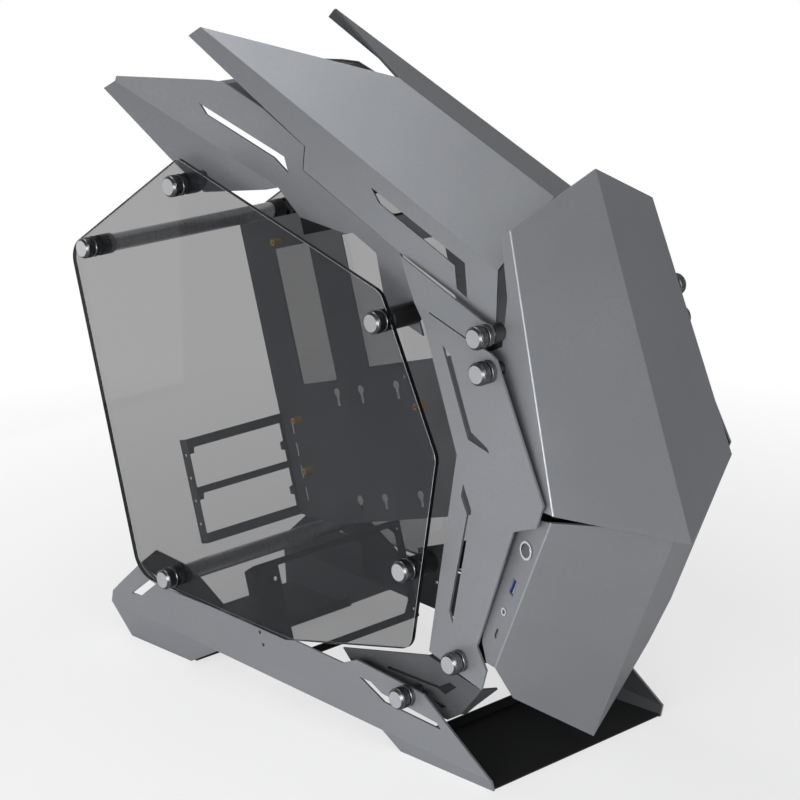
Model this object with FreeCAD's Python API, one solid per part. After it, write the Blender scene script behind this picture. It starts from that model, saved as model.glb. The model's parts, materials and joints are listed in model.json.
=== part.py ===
"""Open-frame computer case for a micro-ATX board: a tilted steel body between two tinted glass sides,
carried by a low stand and dressed with folded aluminium sheets.

Millimetres. X runs across the case, with the glass side that faces the user at -X, Y runs to the back
and Z up. The body leans back by TILT: its own directions are called forward and rise."""
import FreeCAD, Part
import math
import os

V = FreeCAD.Vector

# Sheets, plates and glass
SHEET = 2.0               # folded aluminium sheets outside
STEEL = 1.2               # steel plates of the body
FOLD_RADIUS = 1.4         # outer radius of a fold
GLASS_THICKNESS = 4.0
GLASS_INNER_X = 104.0     # inner face of each glass side, from the middle of the case

# Body
TILT = 16.7               # degrees that the body leans back
FRAME_X = 87.0            # outer face of the front frame's side flanges
FRAME_FORWARD = 100.0     # front face of the upper part of the front frame
FRAME_DEPTH = 26.0        # its side flanges
SHOULDER_RISE = 346.0     # where the front frame narrows
FRAME_TOP = 400.0
NECK_X = 74.0             # half width of the front frame above its shoulders
KNEE_RISE = 190.0         # where the front frame bends back
TOE_FORWARD = 16.0        # lower edge of the front frame
TOE_RISE = 97.0
TRAY_X = 60.0             # face of the motherboard tray that the board is screwed to
TRAY_REAR = -343.5
TRAY_MARGIN = 3.0         # from the highest board screw to the tray's upper edge
TRAY_CORNER = 18.0        # how far the tray's rear upper corner stands above that edge
WEB_X = 75.0              # outer face of the rear wings' upright webs
BRIDGE_FRONT = -56.0      # the wing bridge lies on the tray's upper edge
BRIDGE_DEPTH = 56.0

# Stand
LEG_X = 103.0             # outer face of the legs
FOOT_LEAN = 0.33          # how far a foot leans inward for each mm down from its fold
FOLD_START = 9.0          # height of the leg's fold at the front edge
FOLD_SLOPE = 0.05
STAND_LENGTH = 454.0
PAN_CLEARANCE = 1.0       # under the two base pans
PAN_FLANGE = 9.0          # height of the lip along each pan's inner edge
PAN_FRONT_DEPTH = 100.0
PAN_REAR_START = 354.0
PAN_REAR_INSET = 17.0     # from the rear pan to the rear end of the stand

# Round parts; small ones and their holes are prisms, which keeps them light
SIDES = 20
HOLE_SIDES = 10
HEAD_RADIUS = 8.75        # thumb screws
HEAD_LENGTH = 14.0
SHANK_RADIUS = 2.8
SHANK_LENGTH = 12.0
SHANK_CLEARANCE = 0.25
SPACER_RADIUS = 8.75
UPPER_SPACER = 13.0       # between glass and upper tie rod
ROD_RADIUS = 7.5
STANDOFF_RADIUS = 5.0     # between the frame and the side panels

# Motherboard, expansion slots and power supply
HOLE_PITCH = 157.48       # board screw columns, first to second
HOLE_PITCH_OUTER = 227.33 # first to third
HOLE_STEP = 45.72         # lowest to middle row
HOLE_FORWARD = -316.7     # rearmost column
HOLE_RISE = 235.1         # lowest row
HOLE_OFFSET = 22.86       # the top rear screw stands this far in from its column
BRASS_HEIGHT = 10.0
BRASS_RADIUS = 2.9
BRASS_THREAD = 1.4
SLOT_PITCH = 20.32
SLOT_RISE = 213.4         # middle of the lowest card slot
SLOTS_LOW = 196.0         # expansion frame, lower and upper edge
SLOTS_HIGH = 288.0
SLOT_FLANGE_X = 50.5      # its free side, where the cards' brackets are screwed
SLOT_FLANGE = 9.0
RING_FORWARD = -227.0     # front face of the power supply's bracket
RING_TOP = 184.0
RING_BOTTOM = 97.0
RING_SIDE = 9.0           # right side of the ring, beyond the face of the tray
POST_WIDTH = 27.0
SUPPLY_LOW = 103.6        # opening for the power supply
SUPPLY_HIGH = 178.6
FAN_RISE = 272.0          # middle of the front fan
FAN_PITCH = 105.0         # screws of a 120 mm fan
FAN_OPENING = 56.0        # radius
FAN_HOLE = 2.15           # radius
CARD_HOLE = 1.6           # radius

# Power button and ports
BUTTON_RADIUS = 5.4
BUTTON_GAP = 0.12
BUTTON_TRAVEL = 1.0
COLLAR = 0.9              # wider than the button, holds it in its housing
BEZEL_WALL = 1.7
BEZEL_LIP = 0.8
BOARD_DEPTH = 10.0        # port board behind the strip
SWITCH_HEIGHT = 3.0
PORT_CLEARANCE = 0.3

LEFT = V(-1, 0, 0)
FRONT = V(0, -1, 0)
BACK = V(0, 1, 0)
UP = V(0, 0, 1)
SIN = math.sin(math.radians(TILT))
COS = math.cos(math.radians(TILT))
FORWARD = V(0, -COS, SIN)
RISE = V(0, SIN, COS)
ACROSS = V(1, 0, 0)
FAR = 900.0

# Board screws, forward and rise of each, a spare hole without a standoff, and the tray's upper edge
BOARD_COLUMNS = (HOLE_FORWARD, HOLE_FORWARD + HOLE_PITCH, HOLE_FORWARD + HOLE_PITCH_OUTER)
MIDDLE_ROW = HOLE_RISE + HOLE_STEP
TOP_ROW = MIDDLE_ROW + HOLE_PITCH
SPARE_HOLE = (BOARD_COLUMNS[1], HOLE_RISE)
BOARD_HOLES = [(BOARD_COLUMNS[0], HOLE_RISE), (BOARD_COLUMNS[2], HOLE_RISE)]
BOARD_HOLES += [(column, MIDDLE_ROW) for column in BOARD_COLUMNS]
BOARD_HOLES += [(BOARD_COLUMNS[0] + HOLE_OFFSET, TOP_ROW), (BOARD_COLUMNS[2], TOP_ROW)]
BRIDGE_RISE = TOP_ROW + TRAY_MARGIN

# Screws, seen from the side: y and z of each centre
GLASS_SCREWS = {
    "rear_top": (340.2, 420.3),
    "rear_upper": (454.9, 350.7),
    "front_top": (109.7, 351.2),
    "front_bottom": (80.7, 161.5),
    "rear_bottom": (361.2, 80.6),
}
LEG_SCREW = (88.6, 53.3)
PANEL_SCREW_UPPER = (5.0, 332.0)
PANEL_SCREW_LOWER = (34.5, 97.5)
CHEEK_SCREW = (9.5, 357.5)
WING_ROD = (249.0, 414.0)


class Facet:
    """One flat part of a folded sheet, on the plane through three corners, facing a given way."""

    def __init__(self, a, b, c, facing):
        self.origin = a
        self.normal = (b - a).cross(c - a).normalize()
        if self.normal.dot(facing) < 0:
            self.normal = self.normal * -1

    def at(self, y, z):
        """The point of the plane with this y and z."""
        off = self.normal.y * (y - self.origin.y) + self.normal.z * (z - self.origin.z)
        return V(self.origin.x - off / self.normal.x, y, z)

    def below(self, x, y):
        """The point of the plane with this x and y."""
        off = self.normal.x * (x - self.origin.x) + self.normal.y * (y - self.origin.y)
        return V(x, y, self.origin.z - off / self.normal.z)

    def on(self, outline):
        return [self.at(y, z) for y, z in outline]

    def outward(self, depth):
        """All the space from a depth under the face outward."""
        side = self.normal.cross(V(0.3, 0.5, 0.8)).normalize()
        other = self.normal.cross(side)
        start = self.origin - self.normal * depth
        signs = ((-1, -1), (1, -1), (1, 1), (-1, 1))
        corners = [start + side * (FAR * i) + other * (FAR * j) for i, j in signs]
        return slab(polygon(corners), self.normal * FAR)


def body(x, forward, rise):
    """A point of the tilted body."""
    return ACROSS * x + FORWARD * forward + RISE * rise


def polygon(points):
    return Part.makePolygon(list(points) + [points[0]])


def rounded(points, radii):
    """A closed outline with its corners rounded; a radius of 0 keeps a corner sharp."""
    corners = []
    for i, corner in enumerate(points):
        to_last = (points[i - 1] - corner).normalize()
        to_next = (points[(i + 1) % len(points)] - corner).normalize()
        half = to_last.getAngle(to_next) / 2
        middle = (to_last + to_next).normalize()
        centre = corner + middle * (radii[i] / math.sin(half))
        reach = radii[i] / math.tan(half)
        corners.append((corner + to_last * reach, centre - middle * radii[i], corner + to_next * reach))
    edges = []
    for i, (start, middle, end) in enumerate(corners):
        edges.append(Part.LineSegment(corners[i - 1][2], start).toShape())
        if radii[i] > 0:
            edges.append(Part.Arc(start, middle, end).toShape())
    return Part.Wire(edges)


def slab(outline, thickness):
    """A flat plate: an outline pushed along a vector."""
    return Part.Face(outline).extrude(thickness)


def sheet(facet, points, holes=(), thickness=SHEET):
    """One flat part of a folded sheet, with cut-outs given as outlines on the same plane."""
    plate = slab(polygon(points), facet.normal * -thickness)
    for hole in holes:
        start = [p + facet.normal * SHEET for p in hole]
        plate = plate.cut(slab(polygon(start), facet.normal * (-3 * SHEET - abs(thickness))))
    return plate


def join(shapes):
    """One piece from touching parts, without the seams between them."""
    return shapes[0].fuse(list(shapes[1:])).removeSplitter()


def cut(shape, tools):
    return shape.cut(list(tools))


def round_fold(shape, start, end, first, second, radius=FOLD_RADIUS):
    """Rounds the fold from start to end, between two flat parts with these outward normals."""
    along = (end - start).normalize()
    past = 0.4
    corner = start - along * past
    inward = (first + second) * (1 / (1 + first.dot(second)))
    centre = corner - inward * radius
    middle = centre + (first + second).normalize() * radius
    near = centre + first * radius
    far = centre + second * radius
    section = Part.Wire([
        Part.Arc(near, middle, far).toShape(),
        Part.LineSegment(far, far + second).toShape(),
        Part.LineSegment(far + second, corner + inward).toShape(),
        Part.LineSegment(corner + inward, near + first).toShape(),
        Part.LineSegment(near + first, near).toShape(),
    ])
    return shape.cut(slab(section, along * ((end - start).Length + 2 * past)))


def mirrored(shape):
    return shape.mirror(V(0, 0, 0), ACROSS)


def prism(base, along, corner, radius, sides):
    """A round bar as a prism, from base along a vector, with one of its corners in a given direction."""
    other = along.cross(corner).normalize()
    turns = [2 * math.pi * i / sides for i in range(sides)]
    ring = [base + corner * (radius * math.cos(a)) + other * (radius * math.sin(a)) for a in turns]
    return slab(polygon(ring), along)


def across(y, z, from_x, to_x, radius, sides=SIDES):
    """A bar across the case."""
    return prism(V(from_x, y, z), ACROSS * (to_x - from_x), BACK, radius, sides)


def screw_hole(centre, from_x, to_x, clearance=SHANK_CLEARANCE):
    """Room for a thumb screw's shank, between two distances from the middle of the case."""
    return across(*centre, from_x, to_x, SHANK_RADIUS + clearance, HOLE_SIDES)


def drill(centre, direction, radius, depth):
    """A true round hole through a plate, on both sides of a point."""
    return Part.makeCylinder(radius, 2 * depth, centre - direction * depth, direction)


def upright(outline, x, thickness=STEEL, holes=()):
    """A body plate that stands along the case: (forward, rise) outlines, from x away from the middle."""
    plate = slab(polygon([body(x, f, r) for f, r in outline]), ACROSS * thickness)
    for hole in holes:
        plate = plate.cut(slab(polygon([body(x - 5, f, r) for f, r in hole]), ACROSS * (10 + abs(thickness))))
    return plate


def crosswise(outline, forward, holes=(), thickness=STEEL):
    """A body plate across the case: (x, rise) outlines, its front face at forward."""
    plate = slab(polygon([body(x, forward, r) for x, r in outline]), FORWARD * -thickness)
    for hole in holes:
        start = [body(x, forward + 5, r) for x, r in hole]
        plate = plate.cut(slab(polygon(start), FORWARD * (-10 - thickness)))
    return plate


def level(outline, rise, holes=(), thickness=STEEL):
    """A body plate parallel to its floor: (x, forward) outlines, its upper face at rise."""
    plate = slab(polygon([body(x, f, rise) for x, f in outline]), RISE * -thickness)
    for hole in holes:
        start = [body(x, f, rise + 5) for x, f in hole]
        plate = plate.cut(slab(polygon(start), RISE * (-10 - thickness)))
    return plate


def box_outline(low_a, high_a, low_b, high_b):
    return [(low_a, low_b), (high_a, low_b), (high_a, high_b), (low_a, high_b)]


def chamfered_outline(low_a, high_a, low_b, high_b, size):
    return [(low_a + size, low_b), (high_a - size, low_b), (high_a, low_b + size), (high_a, high_b - size),
            (high_a - size, high_b), (low_a + size, high_b), (low_a, high_b - size), (low_a, low_b + size)]


# Facets of the folded sheets, from corners that neighbouring sheets share

# Side panel, bent at the elbow
ELBOW_INNER = V(-105, 35.9, 261.6)
ELBOW_OUTER = V(-109, -53.5, 244)
PANEL_TOP = V(-100, 85.5, 368.2)
panel_upper = Facet(ELBOW_INNER, ELBOW_OUTER, PANEL_TOP, LEFT)
panel_lower = Facet(ELBOW_INNER, ELBOW_OUTER, V(-99, 69.7, 94.3), LEFT)
panel_cheek = Facet(PANEL_TOP, panel_upper.at(69.2, 363.2), V(-95, 105.2, 399), LEFT)

# Upper wing, a roof with two flared flanges
WING_FOLD_REAR = V(-74.8, 350.9, 542)
WING_FOLD_FRONT = V(-78.8, 21, 399.7)
WING_RIDGE_REAR = V(0, 201, 510)
wing_web = Facet(WING_FOLD_REAR, WING_FOLD_FRONT, WING_RIDGE_REAR, UP)
wing_flange = Facet(WING_FOLD_REAR, WING_FOLD_FRONT, V(-89.3, 111.6, 400), LEFT)
WING_RIDGE_FRONT = wing_web.below(0, 37)

# Rear wing: the faces that look inward
rear_web = Facet(V(SHEET - WEB_X, 0, 0), V(SHEET - WEB_X, 1, 0), V(SHEET - WEB_X, 0, 1), LEFT)
REAR_FOLD_TIP = rear_web.at(461.7, 484.8)
REAR_FOLD_FRONT = rear_web.at(261.1, 424.7)
rear_flange = Facet(REAR_FOLD_TIP, REAR_FOLD_FRONT, V(SHEET - 88.2, 378.8, 433.6), LEFT)

# Upper front shell, a prow with side flanges
PROW_TOP = V(0, -3, 467)
PROW_BOTTOM = V(0, -104, 200)
SHELL_ELBOW = V(-103.7, -58.7, 236.4)
shell_face = Facet(PROW_TOP, PROW_BOTTOM, SHELL_ELBOW, FRONT)
SHELL_SHOULDER = shell_face.at(8, 431.5)
shell_side = Facet(SHELL_SHOULDER, SHELL_ELBOW, V(-91.5, 18, 341), LEFT)

# Lower front shell, a smaller prow behind the first, with the port strip on its left side
CHIN_RIDGE = V(0, -85.7, 193.8)
CHIN_BOTTOM = V(0, -13.5, 18.3)
CHIN_CORNER = V(-103.8, -3.9, 103.3)
STRIP_LEAN = 0.2
chin_face = Facet(CHIN_RIDGE, CHIN_BOTTOM, CHIN_CORNER, FRONT)
CHIN_TOP = chin_face.at(-56.4, 230.5)
strip_face = Facet(CHIN_TOP, CHIN_CORNER, CHIN_CORNER + V(STRIP_LEAN, 1, 0), LEFT)


def fold_height(y):
    """Height of the leg's fold."""
    return FOLD_START + FOLD_SLOPE * y


def leg():
    """One side of the stand: an upright sheet with two feet folded inward."""
    fold = Facet(V(-LEG_X, 0, 0), V(-LEG_X, 1, 0), V(-LEG_X, 0, 1), LEFT)
    outline = [(0, fold_height(0)), (72, 58.7), (146, 65.8), (162, 58.5), (227, 62), (385, 63), (400, 72),
               (413, 77.4), (442, 51.4), (452, 42), (STAND_LENGTH, fold_height(STAND_LENGTH))]
    slot = [(143, 52.5), (130, 52), (117.4, 45.9), (57, 39.5), (52.8, 35), (115, 39.1)]
    window = [(425.7, 46.6), (413.6, 46.9), (393, 63.5), (401.6, 65.4)]
    upright_part = sheet(fold, fold.on(outline), [fold.on(slot), fold.on(window)])
    lean = Facet(fold.at(0, fold_height(0)), fold.at(100, fold_height(100)),
                 V(FOOT_LEAN * FOLD_START - LEG_X, 0, 0), LEFT)
    feet = []
    for top_front, top_rear, bottom_front, bottom_rear in ((0, 117, 0, 101), (314, STAND_LENGTH, 359, 440)):
        steep_front = (bottom_front - top_front) / fold_height(top_front)
        steep_rear = (bottom_rear - top_rear) / fold_height(top_rear)
        under = 4.0
        foot = [(top_front, fold_height(top_front)), (top_rear, fold_height(top_rear)),
                (bottom_rear + steep_rear * under, -under), (bottom_front + steep_front * under, -under)]
        feet.append(sheet(lean, lean.on(foot)))
    shape = join([upright_part] + feet)
    for front, rear in ((0, 117), (314, STAND_LENGTH)):
        shape = round_fold(shape, fold.at(front, fold_height(front)), fold.at(rear, fold_height(rear)),
                           fold.normal, lean.normal)
    ground = Part.makeBox(FAR, FAR, 20, V(-FAR / 2, -FAR / 4, -20))
    holes = [across(y, z, -LEG_X - 5, 5 - LEG_X, 1.6, HOLE_SIDES) for y, z in ((260, 57), (256, 47))]
    return cut(shape, [ground, screw_hole(LEG_SCREW, -LEG_X - 5, 5 - LEG_X)] + holes)


def base_pan(front, rear, lip):
    """Black plate just above the floor that ties two feet, with a lip along its edge at y = lip."""
    def half_width(y):
        inner_face = LEG_X - SHEET * math.hypot(1, FOOT_LEAN)
        return inner_face - FOOT_LEAN * (fold_height(y) - PAN_CLEARANCE) - 0.3

    top = PAN_CLEARANCE + STEEL
    plate = slab(polygon([V(-half_width(front), front, top), V(half_width(front), front, top),
                          V(half_width(rear), rear, top), V(-half_width(rear), rear, top)]), UP * -STEEL)
    start = lip - STEEL if lip == rear else lip
    half = min(half_width(front), half_width(rear))
    edge = Part.makeBox(2 * half, STEEL, PAN_FLANGE, V(-half, start, PAN_CLEARANCE))
    return join([plate, edge])


def lower_plate():
    """Slotted plate between leg and side panel, with a short return at its front edge."""
    x = FRAME_X + SHEET
    face = Facet(V(-x, 0, 0), V(-x, 1, 0), V(-x, 0, 1), LEFT)
    front_top = (23.5, 72.3)
    front_bottom = (45.4, 45.7)
    outline = [(176, 63.7), (80.5, 84.7), front_top, front_bottom, (59, 37.2), (112, 36), (160, 48)]
    long_slot = [(125.6, 63.2), (125.6, 60.6), (70, 60.4), (62, 57.5), (49.7, 67.1), (57, 69), (68, 62.6)]
    short_slot = [(76, 49.7), (60, 47.7), (66, 44.5)]
    plate = sheet(face, face.on(outline), [face.on(long_slot), face.on(short_slot)])
    inward = V(14, -4, -2)
    back = Facet(face.at(*front_top), face.at(*front_bottom), face.at(*front_top) + inward, FRONT)
    tip = face.at(*front_top) + inward
    heel = face.at(*front_bottom) + inward * 0.35
    notch = (tip + heel) * 0.5 + (face.at(*front_bottom) - tip) * 0.18
    hem = slab(polygon([face.at(*front_top), tip, notch, heel, face.at(*front_bottom)]), back.normal * -SHEET)
    shape = join([plate, hem])
    return cut(shape, [screw_hole(LEG_SCREW, -x - 5, 5 - x)])


def rear_arm():
    """Dark plate that rises from the leg's inner face to the lower tie rod."""
    x = LEG_X - SHEET
    face = Facet(V(-x, 0, 0), V(-x, 1, 0), V(-x, 0, 1), LEFT)
    foot = 30
    outline = [(394.5, 93.2), (416.7, 75.2), (348, 60), (348, foot), (298, foot), (298, 60), (308.7, 67.2),
               (337.5, 83.4), (361.2, 90.6)]
    plate = sheet(face, face.on(outline))
    return cut(plate, [screw_hole(GLASS_SCREWS["rear_bottom"], -x - 5, 5 - x)])


def side_panel():
    """Sheet beside the front, bent at its elbow, with a cheek that is set off by a slit."""
    upper = [(85.5, 368.2), (74.2, 353.6), (35.9, 261.6), (-53.5, 244), (-1.4, 341.9), (4.5, 345.6),
             (26.3, 350.3), (69.2, 363.2)]
    lower = [(35.9, 261.6), (69.7, 94.3), (12.3, 80), (6.7, 97.3), (16.8, 113.7), (-22.9, 216.4),
             (-46.5, 225.4), (-53.5, 244)]
    cheek = [(85.5, 368.2), (69.2, 363.2), (26.3, 350.3), (13, 350.2), (4, 352.5), (3, 360),
             (8, 365.2), (16.6, 366.5), (105.2, 399)]
    upper_slot = [(54.5, 341.7), (45.4, 336.1), (21.8, 282.5), (4.3, 273.9), (2.1, 270.4), (24.9, 276)]
    lower_slot = [(29.5, 240.6), (20.8, 221.4), (43.1, 124.6), (46.5, 134.6), (25.8, 217.1), (32.1, 229.9)]
    shape = join([
        sheet(panel_upper, panel_upper.on(upper), [panel_upper.on(upper_slot)]),
        sheet(panel_lower, panel_lower.on(lower), [panel_lower.on(lower_slot)]),
        sheet(panel_cheek, panel_cheek.on(cheek)),
    ])
    slit = [(69.2, 363.8), (69.2, 362.6), (20, 347.8), (20, 349)]
    shape = shape.cut(slab(polygon([V(-120, y, z) for y, z in slit]), ACROSS * 40))
    return cut(shape, [screw_hole(centre, -120, -80)
                       for centre in (PANEL_SCREW_UPPER, PANEL_SCREW_LOWER, CHEEK_SCREW)])


def upper_wing():
    """Roof sheet over the front half: two webs that meet in a ridge, and a slotted flange on each side."""
    web = [WING_FOLD_REAR, WING_RIDGE_REAR, WING_RIDGE_FRONT, WING_FOLD_FRONT]
    flange = [(361.8, 534.2), (310.7, 508.4), (220.7, 464), (217.8, 446.8), (111.6, 400), (28.5, 367.2),
              (16, 355.5), (7, 354), (13, 363)]
    slot = [(150.3, 442.5), (139.5, 431.9), (59.5, 397.7), (53.5, 382), (42.3, 376.8), (50.9, 400.7)]
    side = sheet(wing_flange, [WING_FOLD_REAR] + wing_flange.on(flange) + [WING_FOLD_FRONT],
                 [wing_flange.on(slot)])
    half = join([sheet(wing_web, web), side])
    half = round_fold(half, WING_FOLD_REAR, WING_FOLD_FRONT, wing_web.normal, wing_flange.normal)
    return both_halves(half, WING_RIDGE_REAR, WING_RIDGE_FRONT, wing_web)


def both_halves(half, ridge_start, ridge_end, facet):
    """A whole sheet from its left half, with the ridge between the halves rounded."""
    half = half.cut(Part.makeBox(FAR, 2 * FAR, 2 * FAR, V(0, -FAR, -FAR)))
    other = V(-facet.normal.x, facet.normal.y, facet.normal.z)
    return round_fold(join([half, mirrored(half)]), ridge_start, ridge_end, facet.normal, other)


def rear_wing():
    """Slotted arm plate beside the rear top: an upright web that runs forward as a strap, and a flange."""
    web = [(461.7, 484.8), (459.8, 489.7), (342.7, 500.2), (323.7, 500.6), (277.6, 485.4), (230.5, 462),
           (232.5, 442.8), (125.2, 394.8), (100.9, 334.3), (118, 339.9), (139.5, 345.1), (151, 390.4),
           (176.2, 401.7), (186.2, 400.1), (236, 404.9), (261.1, 424.7)]
    flange = [(461.7, 484.8), (471.3, 478), (378.8, 433.6), (332.3, 412.5), (273.7, 421.3), (261.1, 424.7)]
    slot = [(354.5, 480.2), (346.1, 471.9), (265.9, 448), (248.7, 437.7), (253.6, 450.5)]
    shape = join([
        sheet(rear_web, rear_web.on(web), [rear_web.on(slot)], -SHEET),
        sheet(rear_flange, rear_flange.on(flange), (), -SHEET),
    ])
    return round_fold(shape, REAR_FOLD_TIP, REAR_FOLD_FRONT, rear_web.normal * -1, rear_flange.normal * -1)


def wing_cross_plate():
    """Bent plate that joins the webs of the rear wings at their top."""
    half = WEB_X - SHEET
    profile = [(338, 499.2), (322, 499.6), (286, 487.8), (286, 478), (286 + STEEL, 478),
               (286 + STEEL, 487), (322.3, 498.3), (338, 497.9)]
    return slab(polygon([V(-half, y, z) for y, z in profile]), ACROSS * (2 * half))


def wing_bridge():
    """Steel channel on top of the tray that carries the upper wing and the rear wings' webs."""
    half = WEB_X - SHEET
    rear = BRIDGE_FRONT - BRIDGE_DEPTH
    parts = [level(box_outline(-half, half, rear, BRIDGE_FRONT), BRIDGE_RISE + STEEL)]
    for x in (-half, half - STEEL):
        parts.append(upright(box_outline(rear, BRIDGE_FRONT, BRIDGE_RISE, BRIDGE_RISE + 200), x))
    channel = join(parts)
    roof = wing_web.outward(SHEET)
    return cut(channel, [roof, mirrored(roof)])


def upper_front_shell():
    """Prow of sheet over the front of the body."""
    side = [(15.7, 426), (4.3, 383), (4.8, 347.5), (18, 341), (0, 300), (-38, 238)]
    face = sheet(shell_face, [PROW_TOP, PROW_BOTTOM, SHELL_ELBOW, SHELL_SHOULDER])
    flange = sheet(shell_side, [SHELL_SHOULDER] + shell_side.on(side) + [SHELL_ELBOW])
    half = round_fold(join([face, flange]), SHELL_SHOULDER, SHELL_ELBOW, shell_face.normal, shell_side.normal)
    half = half.cut(across(*PANEL_SCREW_UPPER, -FAR, 0, STANDOFF_RADIUS + PORT_CLEARANCE))
    return both_halves(half, PROW_TOP, PROW_BOTTOM, shell_face)


STRIP_AXIS = (CHIN_TOP - CHIN_CORNER).normalize()
BUTTON_CENTRE = strip_face.at(-30.8, 202.5)
USB_CENTRE = strip_face.at(-18.4, 170.6)
JACK_CENTRE = strip_face.at(-9.5, 149.0)
TYPE_C_CENTRE = strip_face.at(-2.7, 130.0)
USB_SIZE = (13.2, 5.8)
TYPE_C_SIZE = (9.0, 3.3)
JACK_RADIUS = 3.2
JACK_BORE = 1.75
JACK_LIP = 0.4
BEZEL_RADIUS = BUTTON_RADIUS + BUTTON_GAP + BEZEL_WALL
BEZEL_BODY = BEZEL_RADIUS - 0.8


def port_block(centre, size, start, end):
    """A block square to the port strip, from one depth to another."""
    along = STRIP_AXIS * (size[0] / 2)
    side = STRIP_AXIS.cross(strip_face.normal) * (size[1] / 2)
    base = centre - strip_face.normal * end
    corners = [base + along + side, base + along - side, base - along - side, base - along + side]
    return slab(polygon(corners), strip_face.normal * (end - start))


def port_slot(centre, size, start, end):
    """A block with round ends, square to the port strip, from one depth to another."""
    radius = size[1] / 2
    reach = size[0] / 2 - radius
    side = STRIP_AXIS.cross(strip_face.normal)
    turns = [math.pi * i / 6 for i in range(7)]
    bow = [STRIP_AXIS * (reach + radius * math.sin(a)) + side * (radius * math.cos(a)) for a in turns]
    base = centre - strip_face.normal * end
    ring = [base + point for point in bow] + [base - point for point in bow]
    return slab(polygon(ring), strip_face.normal * (end - start))


def port_rod(centre, radius, start, end, sides=SIDES):
    """A round block square to the port strip, from one depth to another."""
    base = centre - strip_face.normal * end
    return prism(base, strip_face.normal * (end - start), STRIP_AXIS, radius, sides)


def lower_front_shell():
    """Smaller prow under the first; its sides turn back into strips, the left one with the ports."""
    ridge_top = chin_face.at(-91.0, chin_face_height(-91.0))
    corner_low = chin_face.at(-0.8, 70.9)
    face = sheet(chin_face, [ridge_top, CHIN_BOTTOM, corner_low, CHIN_CORNER, CHIN_TOP])
    rear_edge = strip_face.on([(7, 103.8), (14, 118), (12, 160), (-22, 226)])
    strip = sheet(strip_face, [CHIN_TOP, CHIN_CORNER] + rear_edge)
    half = round_fold(join([face, strip]), CHIN_TOP, CHIN_CORNER, chin_face.normal, strip_face.normal)
    shape = both_halves(half, ridge_top, CHIN_BOTTOM, chin_face)
    grown = 2 * PORT_CLEARANCE
    ports = [
        port_rod(BUTTON_CENTRE, BEZEL_BODY + PORT_CLEARANCE, -5, 5),
        port_rod(JACK_CENTRE, JACK_RADIUS + PORT_CLEARANCE, -5, 5),
        port_block(USB_CENTRE, (USB_SIZE[0] + grown, USB_SIZE[1] + grown), -5, 5),
        port_slot(TYPE_C_CENTRE, (TYPE_C_SIZE[0] + grown, TYPE_C_SIZE[1] + grown), -5, 5),
    ]
    return cut(shape, ports)


def chin_face_height(y):
    """Height of the lower shell's ridge at this y."""
    slope = (CHIN_RIDGE.z - CHIN_BOTTOM.z) / (CHIN_RIDGE.y - CHIN_BOTTOM.y)
    return CHIN_RIDGE.z + (y - CHIN_RIDGE.y) * slope


def port_board():
    """Circuit board behind the port strip, with the switch that springs the power button."""
    middle = (BUTTON_CENTRE + TYPE_C_CENTRE) * 0.5
    length = (BUTTON_CENTRE - TYPE_C_CENTRE).Length + 34
    board = port_block(middle, (length, 18), BOARD_DEPTH, BOARD_DEPTH + 1.6)
    switch = port_block(BUTTON_CENTRE, (6, 6), BOARD_DEPTH - SWITCH_HEIGHT, BOARD_DEPTH)
    posts = [port_rod(middle + STRIP_AXIS * (side * (length / 2 - 4)), 2.5, SHEET, BOARD_DEPTH, HOLE_SIDES)
             for side in (-1, 1)]
    return join([board, switch] + posts)


def power_button():
    """Round button with a collar that keeps it in its housing, and a stem over the switch."""
    collar_start = SHEET + BEZEL_LIP + 0.8
    cap = port_rod(BUTTON_CENTRE, BUTTON_RADIUS, -BEZEL_LIP, collar_start)
    collar = port_rod(BUTTON_CENTRE, BUTTON_RADIUS + COLLAR, collar_start, collar_start + 1.4)
    stem = port_rod(BUTTON_CENTRE, 1.8, collar_start, BOARD_DEPTH - SWITCH_HEIGHT - BUTTON_TRAVEL - 0.3)
    return join([cap, collar, stem])


def button_housing():
    """Bezel around the power button, seated in the port strip."""
    shoulder = SHEET + BEZEL_LIP + 0.5
    rear = BOARD_DEPTH - 2
    lip = port_rod(BUTTON_CENTRE, BEZEL_RADIUS, -BEZEL_LIP, 0)
    neck = port_rod(BUTTON_CENTRE, BEZEL_BODY, -BEZEL_LIP, shoulder)
    ring = port_rod(BUTTON_CENTRE, BEZEL_BODY + 1.2, SHEET, rear)
    bore = port_rod(BUTTON_CENTRE, BUTTON_RADIUS + BUTTON_GAP, -BEZEL_LIP - 1, shoulder)
    room = port_rod(BUTTON_CENTRE, BUTTON_RADIUS + COLLAR + 0.2, shoulder, rear + 1)
    return join([lip, neck, ring]).cut(bore).cut(room)


def usb_a_port():
    """Shell of the USB-A socket with its tongue."""
    length, width = USB_SIZE
    shell = port_block(USB_CENTRE, USB_SIZE, 0, BOARD_DEPTH)
    hollow = port_block(USB_CENTRE, (length - 1.0, width - 1.0), -1, BOARD_DEPTH - 3)
    tongue = port_block(USB_CENTRE + STRIP_AXIS.cross(strip_face.normal) * 0.9, (length - 2.4, 1.6), 0.8,
                        BOARD_DEPTH - 2)
    return join([shell.cut(hollow), tongue])


def usb_c_port():
    """Shell of the USB-C socket, with round ends, and its tongue."""
    length, width = TYPE_C_SIZE
    shell = port_slot(TYPE_C_CENTRE, TYPE_C_SIZE, 0, BOARD_DEPTH)
    hollow = port_slot(TYPE_C_CENTRE, (length - 0.8, width - 0.8), -1, BOARD_DEPTH - 3)
    tongue = port_block(TYPE_C_CENTRE, (length - 2.6, 0.7), 0.6, BOARD_DEPTH - 2)
    return join([shell.cut(hollow), tongue])


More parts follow.
